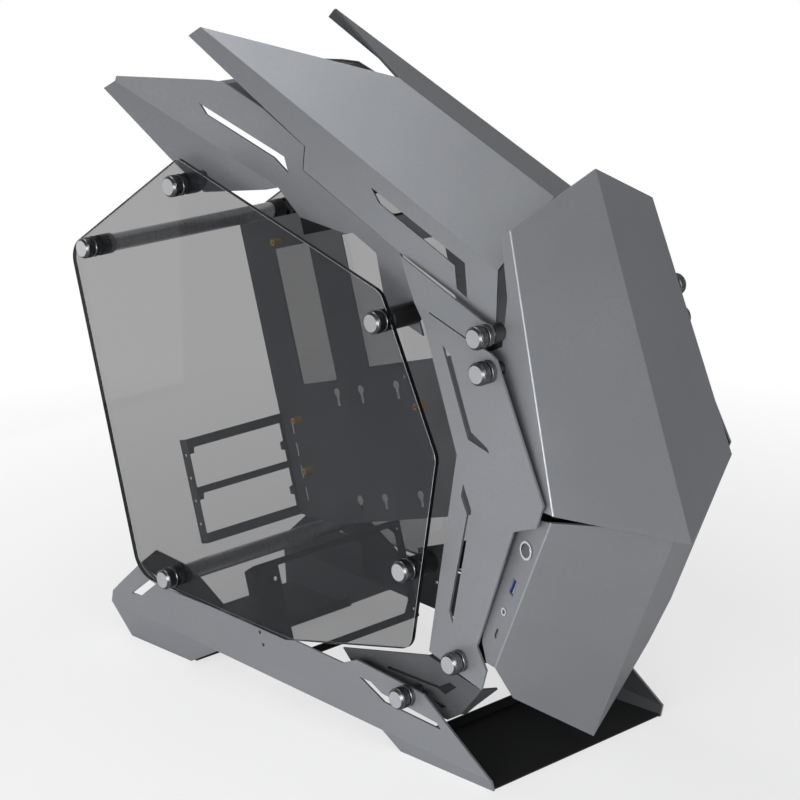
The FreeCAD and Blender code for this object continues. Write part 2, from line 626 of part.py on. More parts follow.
def audio_jack():
    """Round audio socket."""
    barrel = port_rod(JACK_CENTRE, JACK_RADIUS, -JACK_LIP, BOARD_DEPTH)
    depth = BOARD_DEPTH - 2
    bore = Part.makeCylinder(JACK_BORE, depth + 1, JACK_CENTRE - strip_face.normal * depth, strip_face.normal)
    return barrel.cut(bore)


def frame_front(rise):
    """Where the front face of the front frame stands at a rise of the body."""
    if rise >= KNEE_RISE:
        return FRAME_FORWARD
    return TOE_FORWARD + (FRAME_FORWARD - TOE_FORWARD) * (rise - TOE_RISE) / (KNEE_RISE - TOE_RISE)


def front_frame():
    """Steel plate across the front of the body, for a fan, with side flanges and feet on the lower plates."""
    knee = (FRAME_FORWARD, KNEE_RISE)
    toe = (TOE_FORWARD, TOE_RISE)
    rear = FRAME_FORWARD - FRAME_DEPTH
    upper = crosswise([(-FRAME_X, KNEE_RISE), (FRAME_X, KNEE_RISE), (FRAME_X, SHOULDER_RISE),
                       (NECK_X, SHOULDER_RISE), (NECK_X, FRAME_TOP), (-NECK_X, FRAME_TOP),
                       (-NECK_X, SHOULDER_RISE), (-FRAME_X, SHOULDER_RISE)], FRAME_FORWARD)
    lower = upright([toe, knee, (knee[0] - STEEL, knee[1]), (toe[0] - STEEL, toe[1])], -FRAME_X, 2 * FRAME_X)
    parts = [upper, lower]
    for x in (-FRAME_X, FRAME_X - STEEL):
        parts.append(upright([(FRAME_FORWARD, SHOULDER_RISE), (rear, SHOULDER_RISE), (rear, KNEE_RISE - 6),
                              (TOE_FORWARD - 34, TOE_RISE), toe, knee], x))
        foot = [(56, 100), (24, 88), (62, 44), (112, 40), (150, 52), (150, 60), (88, 80)]
        parts.append(slab(polygon([V(x, y, z) for y, z in foot]), ACROSS * STEEL))
        parts.append(screw_lug(x, rear))
    for x in (-50, 50):
        parts.append(upright(box_outline(rear, FRAME_FORWARD, FRAME_TOP - 24, FRAME_TOP + 60), x))
    roof = wing_web.outward(SHEET)
    fan = [drill(body(0, FRAME_FORWARD, FAN_RISE), FORWARD, FAN_OPENING, 20)]
    half = FAN_PITCH / 2
    for x, r in ((-half, -half), (half, -half), (half, half), (-half, half)):
        fan.append(drill(body(x, FRAME_FORWARD, FAN_RISE + r), FORWARD, FAN_HOLE, 20))
    cable_hole = chamfered_outline(-40, 40, SHOULDER_RISE + 10, FRAME_TOP - 14, 8)
    cable = crosswise(cable_hole, FRAME_FORWARD + 10, (), 30)
    screw = screw_hole(GLASS_SCREWS["front_bottom"], -FAR, FAR)
    return cut(join(parts), [roof, mirrored(roof), cable, screw] + fan)


def screw_lug(x, flange_rear):
    """Lug that runs back from a side flange of the front frame to the lower front glass screw."""
    centre = V(0, *GLASS_SCREWS["front_bottom"])
    forward, rise = centre.dot(FORWARD), centre.dot(RISE)
    width = 11
    root = flange_rear + 6
    return upright([(forward - width, rise - width), (root, rise - width + 12), (root, rise + width + 8),
                    (forward - width, rise + width)], x)


def shell_bracket(rise, half, faces):
    """Shelf from the front frame to the inside of a prow, cut to meet both of its faces."""
    rear = frame_front(rise)
    shelf = level(box_outline(-half, half, rear, rear + 90), rise)
    tools = []
    for face in faces:
        beyond = face.outward(SHEET)
        tools += [beyond, mirrored(beyond)]
    return cut(shelf, tools)


def keyhole(forward, top, bottom):
    """Round entry with a narrow neck below."""
    entry = [(forward + 4.2 * math.cos(a), top - 4 + 4.2 * math.sin(a))
             for a in [math.radians(-60 + 50 * i) for i in range(7)]]
    return entry + [(forward - 1.9, bottom), (forward + 1.9, bottom)]


def motherboard_tray():
    """Steel plate that the board is screwed to, with cable windows, slits and keyholes."""
    front = FRAME_FORWARD - STEEL
    top = BRIDGE_RISE + TRAY_CORNER
    outline = [(TRAY_REAR, SLOTS_LOW), (TRAY_REAR, top), (-245, top), (-140, BRIDGE_RISE),
               (BRIDGE_FRONT + 6, BRIDGE_RISE), (20, BRIDGE_RISE - 21), (front, BRIDGE_RISE - 69),
               (front, KNEE_RISE + 2), (TOE_FORWARD - 2, TOE_RISE + 2), (-62, TOE_RISE + 2), (-70, RING_TOP),
               (-300, RING_TOP)]
    holes = [chamfered_outline(-304, -259, 311, BRIDGE_RISE - 9, 1.5),
             [(-215.5, 318.6), (-95, 318.6), (-95, BRIDGE_RISE - 24), (-177, BRIDGE_RISE - 24),
              (-200, BRIDGE_RISE - 8), (-215.5, BRIDGE_RISE - 8)]]
    holes += [keyhole(f, 304, 288) for f in (-263, -232, -187)]
    holes += [keyhole(f, 208, 194) for f in (-262, -230, -185)]
    slit = TRAY_REAR + 12.4
    for i in range(4):
        middle = SLOT_RISE + SLOT_PITCH * i
        holes.append(box_outline(slit, slit + 1.8, middle - 5.9, middle + 5.9))
    plate = upright(outline, TRAY_X, STEEL, holes)
    points = [body(0, f, r) for f, r in ((-175, 306), SPARE_HOLE, (-100, 300))]
    small = [across(p.y, p.z, TRAY_X - 10, TRAY_X + 10, 1.8, HOLE_SIDES) for p in points]
    return cut(plate, small + [rod_room("rear_upper")])


def rod_room(name):
    """Room around a tie rod where it passes a plate."""
    y, z = GLASS_SCREWS[name]
    return across(y, z, -FRAME_X, FRAME_X, ROD_RADIUS + 0.1)


def board_standoffs():
    """Hexagonal brass standoffs of the board, pressed into the tray."""
    posts = []
    for f, r in BOARD_HOLES:
        base = body(TRAY_X, f, r)
        end = base - ACROSS * (BRASS_HEIGHT + 1)
        post = across(base.y, base.z, TRAY_X - BRASS_HEIGHT, TRAY_X, BRASS_RADIUS, 6)
        posts.append(post.cut(Part.makeCylinder(BRASS_THREAD, BRASS_HEIGHT - 0.5, end, ACROSS)))
    return Part.makeCompound(posts)


def expansion_frame():
    """Frame for the card slots behind the tray's edge, with a flange back from its free side."""
    forward = TRAY_REAR + STEEL
    left, right = -SLOT_FLANGE_X, TRAY_X - 3
    tab = 4
    windows = []
    for slot in (0, 2):
        bottom = SLOT_RISE + SLOT_PITCH * slot - SLOT_PITCH * 0.43
        top = bottom + SLOT_PITCH * 1.7
        windows.append([(left + STEEL, bottom), (right, bottom), (right, bottom + 10),
                        (right - tab, bottom + 11), (right - tab, top - 17), (right, top - 16), (right, top),
                        (left + 3 + tab, top), (left + 2 + tab, top - 5), (left + STEEL, top - 5)])
    plate = crosswise(box_outline(left, TRAY_X, SLOTS_LOW, SLOTS_HIGH), forward, windows)
    flange = upright(box_outline(forward - SLOT_FLANGE, forward, SLOTS_LOW, SLOTS_HIGH), left)
    holes = [drill(card_screw(i), ACROSS, CARD_HOLE, 4) for i in range(4)]
    return cut(join([plate, flange]), holes)


def card_screw(slot):
    """Middle of the screw hole for the card in a slot."""
    forward = TRAY_REAR + STEEL - SLOT_FLANGE / 2
    return body(STEEL / 2 - SLOT_FLANGE_X, forward - 0.5, SLOT_RISE + SLOT_PITCH * slot)


def supply_bracket():
    """Black ring that the power supply is screwed to, from the left leg to past the tray."""
    left = SHEET - LEG_X + 0.3
    right = TRAY_X + RING_SIDE
    window_left, window_right = left + POST_WIDTH, TRAY_X + 0.6
    window = [(window_left, SUPPLY_LOW), (window_right - 7, SUPPLY_LOW), (window_right, SUPPLY_LOW + 10),
              (window_right, SUPPLY_HIGH - 6), (window_right - 6, SUPPLY_HIGH), (window_left, SUPPLY_HIGH)]
    ring = crosswise(box_outline(left, right, RING_BOTTOM, RING_TOP), RING_FORWARD, [window])
    side = upright([(RING_FORWARD, RING_TOP), (RING_FORWARD - 12, RING_TOP - 4), (RING_FORWARD - 12, 106),
                    (RING_FORWARD, RING_BOTTOM)], left)
    holes = [(window_left - 5.5, SUPPLY_HIGH - 10, 2.0), (window_left - 5.5, SUPPLY_LOW + 6, 2.0),
             (window_right + 4, SUPPLY_LOW + 1, 1.4), (window_right + 4, RING_TOP - 8, 1.4)]
    drills = [prism(body(x, RING_FORWARD - 6, r), FORWARD * 12, ACROSS, radius, HOLE_SIDES)
              for x, r, radius in holes]
    return cut(join([ring, side]), drills)


def tie_rod(name, half):
    """Steel rod across the case with a threaded hole in each end."""
    y, z = GLASS_SCREWS[name]
    rod = across(y, z, -half, half, ROD_RADIUS)
    ends = [screw_hole((y, z), -half, SHANK_LENGTH - half), screw_hole((y, z), half - SHANK_LENGTH, half)]
    return cut(rod, ends)


def cross_rod():
    """Black rod between the webs of the rear wings."""
    half = WEB_X - SHEET
    return across(*WING_ROD, -half, half, ROD_RADIUS - 1)


def glass():
    """Tinted side with rounded corners and five screw holes."""
    corners = [(345, 441), (113, 372), (54.5, 255), (81, 95), (223, 62), (410, 69), (488, 345)]
    radii = [8, 15, 15, 15, 5, 25, 20]
    inner = -GLASS_INNER_X
    plate = slab(rounded([V(inner, y, z) for y, z in corners], radii), LEFT * GLASS_THICKNESS)
    holes = [screw_hole(centre, inner - 10, inner + 10, 2 * SHANK_CLEARANCE)
             for centre in GLASS_SCREWS.values()]
    return cut(plate, holes)


def thumb_screw(centre, seat_x):
    """Thumb screw; its head bears on a face at seat_x."""
    head = across(*centre, -seat_x - HEAD_LENGTH, -seat_x, HEAD_RADIUS)
    shank = across(*centre, -seat_x, SHANK_LENGTH - seat_x, SHANK_RADIUS, HOLE_SIDES)
    return join([head, shank])


def sleeve(centre, from_x, to_x, radius, facing=None):
    """Spacer sleeve between two depths; one that meets a slanted sheet is cut to it."""
    tube = across(*centre, -from_x, -to_x, radius)
    tube = tube.cut(screw_hole(centre, -from_x - 1, 1 - to_x))
    if facing:
        tube = tube.cut(facing)
    return tube


def glass_spacers():
    """Black spacers between the glass and what carries it."""
    flange_inside = rear_flange.outward(-SHEET)
    inner_half = across(0, 0, -FAR, 0, FAR).cut(flange_inside)
    return Part.makeCompound([
        sleeve(GLASS_SCREWS["rear_top"], GLASS_INNER_X, 80, SPACER_RADIUS, inner_half),
        sleeve(GLASS_SCREWS["rear_upper"], GLASS_INNER_X, GLASS_INNER_X - UPPER_SPACER, SPACER_RADIUS),
        sleeve(GLASS_SCREWS["front_top"], GLASS_INNER_X, WEB_X, SPACER_RADIUS),
        sleeve(GLASS_SCREWS["front_bottom"], GLASS_INNER_X, FRAME_X, SPACER_RADIUS),
        sleeve(GLASS_SCREWS["rear_bottom"], GLASS_INNER_X, LEG_X - SHEET, SPACER_RADIUS),
    ])


def panel_standoffs():
    """Short standoffs from the frame to the side panel and from the lower plate to the leg."""
    posts = [sleeve(LEG_SCREW, LEG_X - SHEET, FRAME_X + SHEET, STANDOFF_RADIUS)]
    for centre, facet in ((PANEL_SCREW_UPPER, panel_upper), (PANEL_SCREW_LOWER, panel_lower)):
        posts.append(sleeve(centre, GLASS_INNER_X + 4, FRAME_X, STANDOFF_RADIUS, facet.outward(SHEET)))
    barrel = sleeve(CHEEK_SCREW, GLASS_INNER_X + 4, FRAME_X - 4, ROD_RADIUS, panel_cheek.outward(SHEET))
    for facet in (wing_flange, shell_side):
        barrel = barrel.cut(across(0, 0, -FAR, 0, FAR).cut(facet.outward(0)))
    return Part.makeCompound(posts + [barrel])


def seat(facet, centre):
    """Distance from the middle of the case to a slanted sheet at a screw."""
    y, z = centre
    turns = [math.pi * i / 4 for i in range(8)]
    rim = [facet.at(y + HEAD_RADIUS * math.cos(a), z + HEAD_RADIUS * math.sin(a)).x for a in turns]
    return -min(rim)


def screws():
    """Thumb screws of the left side, by name."""
    made = {}
    for name, centre in GLASS_SCREWS.items():
        made["glass_screw_" + name] = thumb_screw(centre, GLASS_INNER_X + GLASS_THICKNESS)
    made["leg_screw"] = thumb_screw(LEG_SCREW, LEG_X)
    made["panel_screw_upper"] = thumb_screw(PANEL_SCREW_UPPER, seat(panel_upper, PANEL_SCREW_UPPER))
    made["panel_screw_lower"] = thumb_screw(PANEL_SCREW_LOWER, seat(panel_lower, PANEL_SCREW_LOWER))
    made["panel_screw_cheek"] = thumb_screw(CHEEK_SCREW, seat(panel_cheek, CHEEK_SCREW))
    return made


def pairs():
    """Pieces that the case has on the left and, mirrored, on the right."""
    made = {
        "leg": leg(),
        "lower_plate": lower_plate(),
        "rear_arm": rear_arm(),
        "side_panel": side_panel(),
        "rear_wing": rear_wing(),
        "glass": glass(),
        "glass_spacers": glass_spacers(),
        "panel_standoffs": panel_standoffs(),
    }
    made.update(screws())
    return made


def build():
    nodes = {
        "base_pan": base_pan(0, PAN_FRONT_DEPTH, PAN_FRONT_DEPTH),
        "rear_pan": base_pan(PAN_REAR_START, STAND_LENGTH - PAN_REAR_INSET, PAN_REAR_START),
        "upper_wing": upper_wing(),
        "wing_cross_plate": wing_cross_plate(),
        "wing_bridge": wing_bridge(),
        "wing_cross_rod": cross_rod(),
        "upper_front_shell": upper_front_shell(),
        "lower_front_shell": lower_front_shell(),
        "front_frame": front_frame(),
        "shell_bracket_upper": shell_bracket(FRAME_TOP - 16, NECK_X, [shell_face, shell_side]),
        "shell_bracket_middle": shell_bracket(KNEE_RISE + 36, FRAME_X - 7, [shell_face, shell_side]),
        "shell_bracket_lower": shell_bracket(KNEE_RISE - 40, FRAME_X - 7, [chin_face]),
        "motherboard_tray": motherboard_tray(),
        "board_standoffs": board_standoffs(),
        "expansion_frame": expansion_frame(),
        "supply_bracket": supply_bracket(),
        "upper_tie_rod": tie_rod("rear_upper", GLASS_INNER_X - UPPER_SPACER),
        "lower_tie_rod": tie_rod("rear_bottom", LEG_X - 2 * SHEET),
        "port_board": port_board(),
        "power_button": power_button(),
        "button_housing": button_housing(),
        "usb_a_port": usb_a_port(),
        "usb_c_port": usb_c_port(),
        "audio_jack": audio_jack(),
    }
    for name, shape in pairs().items():
        nodes["left_" + name] = shape
        nodes["right_" + name] = mirrored(shape)
    return nodes


def main():
    nodes = build()
    bounds = FreeCAD.BoundBox()
    for shape in nodes.values():
        bounds.add(shape.BoundBox)
    middle = V(0, -(bounds.YMin + bounds.YMax) / 2, 0)
    os.makedirs("parts", exist_ok=True)
    for name, shape in nodes.items():
        shape.translate(middle)
        shape.exportStep(os.path.join("parts", name + ".step"))
    print(len(nodes), "nodes", "length", round(bounds.YLength, 1), "height", round(bounds.ZLength, 1),
          "width", round(bounds.XLength, 1), "moved", round(middle.y, 2))


main()
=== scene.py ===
"""Looks of the open-frame computer case: sand-blasted sheets, tinted glass, thumb screws, ports, studio."""

import json
import math

import bmesh
import bpy
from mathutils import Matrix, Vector


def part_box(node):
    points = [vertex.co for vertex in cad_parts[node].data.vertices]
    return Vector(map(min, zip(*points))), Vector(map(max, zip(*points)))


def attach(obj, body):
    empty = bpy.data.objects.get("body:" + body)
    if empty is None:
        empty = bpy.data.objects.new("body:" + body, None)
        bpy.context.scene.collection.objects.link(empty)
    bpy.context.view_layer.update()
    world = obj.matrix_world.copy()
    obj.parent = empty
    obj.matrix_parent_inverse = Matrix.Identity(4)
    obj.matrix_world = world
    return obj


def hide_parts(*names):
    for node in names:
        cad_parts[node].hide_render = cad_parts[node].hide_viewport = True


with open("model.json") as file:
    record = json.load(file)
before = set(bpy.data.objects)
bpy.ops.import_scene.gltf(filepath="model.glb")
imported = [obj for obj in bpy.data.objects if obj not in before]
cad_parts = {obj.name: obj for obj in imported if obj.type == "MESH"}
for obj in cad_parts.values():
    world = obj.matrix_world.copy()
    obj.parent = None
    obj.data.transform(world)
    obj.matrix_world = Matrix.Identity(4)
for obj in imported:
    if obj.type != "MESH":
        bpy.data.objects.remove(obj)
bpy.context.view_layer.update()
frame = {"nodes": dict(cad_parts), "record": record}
NODES = frame["nodes"]
ROWS = frame["record"]["subparts"]
CASE = "case"
BUTTON = "button"

# The camera, solved from the photograph's straight edges: metres and degrees, from the stand's front edge
CAMERA_PLACE = (-1.4076, -1.2074, 0.8423)
CAMERA_YAW = 45.0
CAMERA_PITCH = 16.65
CAMERA_LENS = 115.2
CAMERA_SENSOR = 36.0
CAMERA_CLIP = (0.05, 60.0)

# Broken edges, in metres
SHEET_EDGE = 0.00028
STEEL_EDGE = 0.00015
GLASS_EDGE = 0.0009
CRISP = {
    "sheet": SHEET_EDGE,
    "dark_sheet": SHEET_EDGE,
    "black_steel": STEEL_EDGE,
    "grey_steel": STEEL_EDGE,
    "tinted_glass": GLASS_EDGE,
    "rod_steel": SHEET_EDGE,
    "black_plastic": SHEET_EDGE,
    "white_plastic": STEEL_EDGE,
    "button_metal": STEEL_EDGE,
    "port_metal": STEEL_EDGE,
    "brass": STEEL_EDGE,
}
SHARP = math.radians(40)  # edges sharper than this are broken, flatter ones belong to round forms
FLAT = math.radians(0.8)  # facets that meet at less than this are one face
SAME_POINT = 1e-6         # corners nearer than this are one corner
ROUND_SLOTS = ("rod_steel", "black_plastic", "white_plastic", "button_metal", "brass")
OWN_LOOKS = {"usb_a_port": "blue_port"}  # nodes that look unlike the rest of their slot

# Metal surfaces
COOLNESS = 0.03             # how far a grey leans to blue
SHEET_METAL = 0.75
SHEET_ROUGH = 0.48
COAT_ROUGH = 0.6            # powder coat
INNER_SHADE_SHARE = 0.25          # painted shade: the sheets' inner sides have this share of their outer sides' tone
INNER_LEAN = (-0.15, -0.4)  # the normal's outward part: an outer side, then an inner one
EDGE_COSINES = (0.995, 0.85)  # bevelled against true normal: flat, then an edge
OPEN_SHARES = (0.95, 0.6)   # open space round a point: outside, then deep in a bore
# painted shade deep inside bores
BORE_SHADE = (0.01, 0.01, 0.01, 1.0)

# Glass
GLASS_FACE = (0.012, 0.013, 0.016, 1.0)
GLASS_RIM = (0.006, 0.007, 0.008, 1.0)
# painted highlight on the panes' bevels
GLASS_BEVEL_HIGHLIGHT = (0.35, 0.37, 0.39, 1.0)
GLASS_COVER = 0.43  # the share of what stands behind a face that the face hides

# Thumb screws: radius and depth under the cap's face, in millimetres
HEAD_RADIUS = 8.75
SCREW_CAP = [(0, 0), (6.7, 0)]
SCREW_BARREL = [
    (6.7, 0), (7.0, 0.25), (8.3, 1.3), (8.45, 1.8), (HEAD_RADIUS, 2.2), (HEAD_RADIUS, 7.6),
    (8.3, 8.0), (7.5, 8.2), (7.5, 9.4), (8.3, 9.6), (HEAD_RADIUS, 10.0), (HEAD_RADIUS, 13.4),
    (8.4, 14.0), (2.8, 14.0), (2.8, 25.6), (2.4, 26.0), (0, 26.0),
]
KNURLS = 54
KNURL_DEPTH = 0.16
SCREW_CREASE = math.radians(24)  # edges sharper than this stay crisp
SAME_RING = 1e-4                 # points nearer than this are one point
MILLIMETRE = 0.001

# Surround and floor
WHITE = (1.0, 1.0, 1.0, 1.0)
FILL = 0.03                     # the surround's level for diffuse rays
GLOSS = 0.3                     # and for glossy rays
FLOOR_SIZE = 30.0
FLOOR_COLOUR = (0.86, 0.86, 0.87, 1.0)
FLOOR_NEAR_WHITE = 0.66         # the camera's share of white in the floor round the object
FLOOR_FADE = (0.35, 1.0)        # metres from the middle between which that share grows to all
FLOOR_GLOSS = 0.3               # the share of white that glossy rays see in the far floor
FLOOR_GLOSS_FADE = (0.4, 1.4)   # metres from the middle between which it grows from nothing

LAMPS = (
    # name, place, aims at, width, height (metres), spread (degrees), power (watts)
    ("left", (-1.2, -0.7, 0.3), (0, -0.25, 0.14), 2.0, 0.55, 75, 8),
    ("front", (-1.05, -2.1, 1.25), (0, 0, 0.25), 1.4, 1.4, 180, 19),
    ("top", (0, 0.1, 2.5), (0, 0, 0.25), 1.6, 1.6, 180, 4),
    ("rear_top", (0, 0.6, 1.5), (0, 0.1, 0.5), 0.8, 0.8, 180, 5.2),
    ("right", (2.2, -0.8, 1.2), (0, 0, 0.25), 1.6, 1.6, 180, 1.8),
    ("rear_card", (-0.05, 0.8, 0.43), (-0.05, 0, 0.43), 1.2, 0.84, 180, 2.0),
)


def make_camera():
    """The photograph's camera, set out from the stand's front edge."""
    data = bpy.data.cameras.new("camera")
    data.sensor_width = CAMERA_SENSOR
    data.lens = CAMERA_LENS
    data.clip_start, data.clip_end = CAMERA_CLIP
    camera = bpy.data.objects.new("camera", data)
    bpy.context.scene.collection.objects.link(camera)
    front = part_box("left_leg")[0].y
    camera.location = (CAMERA_PLACE[0], CAMERA_PLACE[1] + front, CAMERA_PLACE[2])
    camera.rotation_euler = (math.radians(90 - CAMERA_PITCH), 0, math.radians(CAMERA_YAW - 90))
    bpy.context.scene.camera = camera


USUAL_NOISE = (0.3, 0.7)
# The colour sockets of a Mix node, which share their names with its number and vector sockets
MIX_FIRST = 6
MIX_SECOND = 7
MIX_COLOUR = 2


class Graph:
    """A material's node tree, with short names for the steps the materials share."""

    def __init__(self, name):
        self.material = bpy.data.materials.new(name)
        self.material.use_nodes = True
        self.tree = self.material.node_tree
        self.tree.nodes.clear()
        self.place = self.node("ShaderNodeTexCoord").outputs["Object"]

    def node(self, kind, **settings):
        """A new node with these settings."""
        made = self.tree.nodes.new(kind)
        for key, value in settings.items():
            setattr(made, key, value)
        return made

    def put(self, value, socket):
        """Links an output to the socket, or sets the socket's own value."""
        if hasattr(value, "is_output"):
            self.tree.links.new(value, socket)
        else:
            socket.default_value = value

    def noise(self, scale, detail, stretch=None):
        """Noise in the piece's own space, stretched along its axes where that is asked for."""
        made = self.node("ShaderNodeTexNoise")
        made.inputs["Scale"].default_value = scale
        made.inputs["Detail"].default_value = detail
        place = self.place
        if stretch:
            mapping = self.node("ShaderNodeMapping")
            mapping.inputs["Scale"].default_value = stretch
            self.put(place, mapping.inputs["Vector"])
            place = mapping.outputs["Vector"]
        self.put(place, made.inputs["Vector"])
        return made.outputs["Fac"]

    def math(self, what, first, second=0.0):
        """One step of arithmetic."""
        made = self.node("ShaderNodeMath", operation=what)
        self.put(first, made.inputs[0])
        self.put(second, made.inputs[1])
        return made.outputs[0]

    def span(self, value, low, high, to_low, to_high):
        """The value carried from one range to another, and held at the ends."""
        made = self.node("ShaderNodeMapRange")
        for key, number in (("Value", value), ("From Min", low), ("From Max", high),
                            ("To Min", to_low), ("To Max", to_high)):
            self.put(number, made.inputs[key])
        return made.outputs[0]

    def spread(self, noise, low, high):
        """Noise carried from its usual values to a range."""
        return self.span(noise, *USUAL_NOISE, low, high)

    def mix(self, amount, first, second):
        """Two colours mixed."""
        made = self.node("ShaderNodeMix", data_type="RGBA")
        self.put(amount, made.inputs["Factor"])
        self.put(first, made.inputs[MIX_FIRST])
        self.put(second, made.inputs[MIX_SECOND])
        return made.outputs[MIX_COLOUR]

    def edges(self, radius):
        """1 along edges and 0 on flat faces; it places painted highlights on edges."""
        bevel = self.node("ShaderNodeBevel", samples=4)
        bevel.inputs["Radius"].default_value = radius
        geometry = self.node("ShaderNodeNewGeometry")
        dot = self.node("ShaderNodeVectorMath", operation="DOT_PRODUCT")
        self.put(bevel.outputs["Normal"], dot.inputs[0])
        self.put(geometry.outputs["True Normal"], dot.inputs[1])
        return self.span(dot.outputs["Value"], *EDGE_COSINES, 0.0, 1.0)

    def hollow(self, reach):
        """1 deep inside a bore or a port and 0 on open faces."""
        shade = self.node("ShaderNodeAmbientOcclusion", samples=8)
        shade.inputs["Distance"].default_value = reach
        return self.span(shade.outputs["AO"], *OPEN_SHARES, 0.0, 1.0)

    def bump(self, height, strength, distance):
        """A bumped normal; the distance is in metres."""
        made = self.node("ShaderNodeBump")
        made.inputs["Strength"].default_value = strength
        made.inputs["Distance"].default_value = distance
        self.put(height, made.inputs["Height"])
        return made.outputs["Normal"]

    def finish(self, colour, rough, metal, normal=None, **more):
        """Closes the tree with a Principled shader and gives back the material."""
        shader = self.node("ShaderNodeBsdfPrincipled")
        self.put(colour, shader.inputs["Base Color"])
        self.put(rough, shader.inputs["Roughness"])
        self.put(metal, shader.inputs["Metallic"])
        if normal:
            self.put(normal, shader.inputs["Normal"])
        for key, value in more.items():
            self.put(value, shader.inputs[key.replace("_", " ")])
        out = self.node("ShaderNodeOutputMaterial")
        self.put(shader.outputs["BSDF"], out.inputs["Surface"])
        return self.material


def grey(level):
    """A cool grey."""
    return (level * (1 - COOLNESS), level, level * (1 + 2 * COOLNESS), 1.0)


def dimmed(colour, share):
    """A colour at a share of its brightness."""
    return tuple(part * share for part in colour[:3]) + (1.0,)


def inner_shade_mask(g):
    """1 on the faces that look towards the case's middle plane, 0 on the outer ones; it places the sheets'
    painted shade.
    """
    geometry = g.node("ShaderNodeNewGeometry")
    normal = g.node("ShaderNodeSeparateXYZ")
    g.put(geometry.outputs["True Normal"], normal.inputs[0])
    place = g.node("ShaderNodeSeparateXYZ")
    g.put(geometry.outputs["Position"], place.inputs[0])
    outward = g.math("MULTIPLY", g.math("SIGN", place.outputs["X"]), normal.outputs["X"])
    return g.span(outward, *INNER_LEAN, 0.0, 1.0)


def blasted(name, level):
    """Sand-blasted and anodised sheet: a fine grain, faint clouds, painted highlights along the broken
    edges and painted shade on the inner sides.
    """
    g = Graph(name)
    grain = g.noise(1500.0, 3.0)
    fleck = g.noise(420.0, 2.0)
    cloud = g.noise(9.0, 2.0)
    tone = g.mix(g.spread(cloud, 0.0, 1.0), grey(level * 0.93), grey(level * 1.07))
    tone = g.mix(g.span(fleck, 0.35, 0.65, 0.0, 0.5), tone, grey(level * 0.9))
    tone = g.mix(g.spread(grain, 0.0, 0.5), tone, grey(level * 1.12))
    # painted highlight along the broken edges
    tone = g.mix(g.math("MULTIPLY", g.edges(0.0007), 0.16), tone, grey(level * 2.2))
    # painted shade: the sheets' inner sides are darkened
    tone = g.mix(inner_shade_mask(g), tone, grey(level * INNER_SHADE_SHARE))
    roughness = g.spread(grain, SHEET_ROUGH - 0.06, SHEET_ROUGH + 0.06)
    return g.finish(tone, roughness, SHEET_METAL, g.bump(grain, 0.35, 0.00012), Specular_IOR_Level=0.25)


def painted(name, level):
    """Fine powder coat on steel, with painted highlights along its edges."""
    g = Graph(name)
    grain = g.noise(1100.0, 3.0)
    cloud = g.noise(14.0, 2.0)
    tone = g.mix(g.spread(cloud, 0.0, 1.0), grey(level * 0.85), grey(level * 1.15))
    tone = g.mix(g.span(grain, 0.4, 0.7, 0.0, 0.35), tone, grey(level * 1.6))
    # painted highlight along the edges
    tone = g.mix(g.math("MULTIPLY", g.edges(0.0005), 0.4), tone, grey(level * 2.5 + 0.04))
    roughness = g.spread(grain, COAT_ROUGH - 0.06, COAT_ROUGH + 0.08)
    return g.finish(tone, roughness, 0.0, g.bump(grain, 0.4, 0.0001), Specular_IOR_Level=0.15)


def turned(name, colour, rough, stretch, metal=1.0):
    """Turned or brushed metal: fine lines round or along the part, and painted highlights along its edges.
    """
    g = Graph(name)
    lines = g.noise(60.0, 4.0, stretch)
    tone = g.mix(lines, dimmed(colour, 0.82), colour)
    # painted highlight along the edges
    tone = g.mix(g.math("MULTIPLY", g.edges(0.0003), 0.5), tone, (0.95, 0.95, 0.95, 1.0))
    roughness = g.spread(lines, rough - 0.05, rough + 0.08)
    return g.finish(tone, roughness, metal, g.bump(lines, 0.2, 0.00005))


def turned_face(name, colour, rough):
    """Turned metal with fine rings round the part's own X axis."""
    g = Graph(name)
    flat = g.node("ShaderNodeVectorMath", operation="MULTIPLY")
    g.put(g.place, flat.inputs[0])
    flat.inputs[1].default_value = (0, 1, 1)
    distance = g.node("ShaderNodeVectorMath", operation="LENGTH")
    g.put(flat.outputs["Vector"], distance.inputs[0])
    rings = g.node("ShaderNodeTexNoise", noise_dimensions="1D")
    g.put(distance.outputs["Value"], rings.inputs["W"])
    rings.inputs["Scale"].default_value = 5200.0
    rings.inputs["Detail"].default_value = 3.0
    fac = rings.outputs["Fac"]
    tone = g.mix(fac, dimmed(colour, 0.85), colour)
    roughness = g.spread(fac, rough - 0.05, rough + 0.08)
    return g.finish(tone, roughness, 1.0, g.bump(fac, 0.15, 0.00003))


def plastic(name, colour, rough):
    """Moulded plastic, with painted shade inside its bores."""
    g = Graph(name)
    grain = g.noise(900.0, 3.0)
    tone = g.mix(g.spread(grain, 0.0, 1.0), dimmed(colour, 0.85), colour)
    # painted shade inside bores, where ambient occlusion finds little open space
    tone = g.mix(g.hollow(0.003), tone, BORE_SHADE)
    roughness = g.spread(grain, rough - 0.05, rough + 0.05)
    return g.finish(tone, roughness, 0.0, g.bump(grain, 0.3, 0.00005))


def port_shell(name, inside):
    """A port's drawn steel shell with its insulator's colour inside."""
    g = Graph(name)
    grain = g.noise(60.0, 4.0)
    tone = g.mix(grain, (0.34, 0.35, 0.36, 1.0), (0.42, 0.43, 0.44, 1.0))
    depth = g.hollow(0.004)
    tone = g.mix(depth, tone, inside)
    roughness = g.spread(grain, 0.25, 0.38)
    metal = g.span(depth, 0.0, 0.5, 1.0, 0.0)
    return g.finish(tone, roughness, metal, g.bump(grain, 0.2, 0.00005))


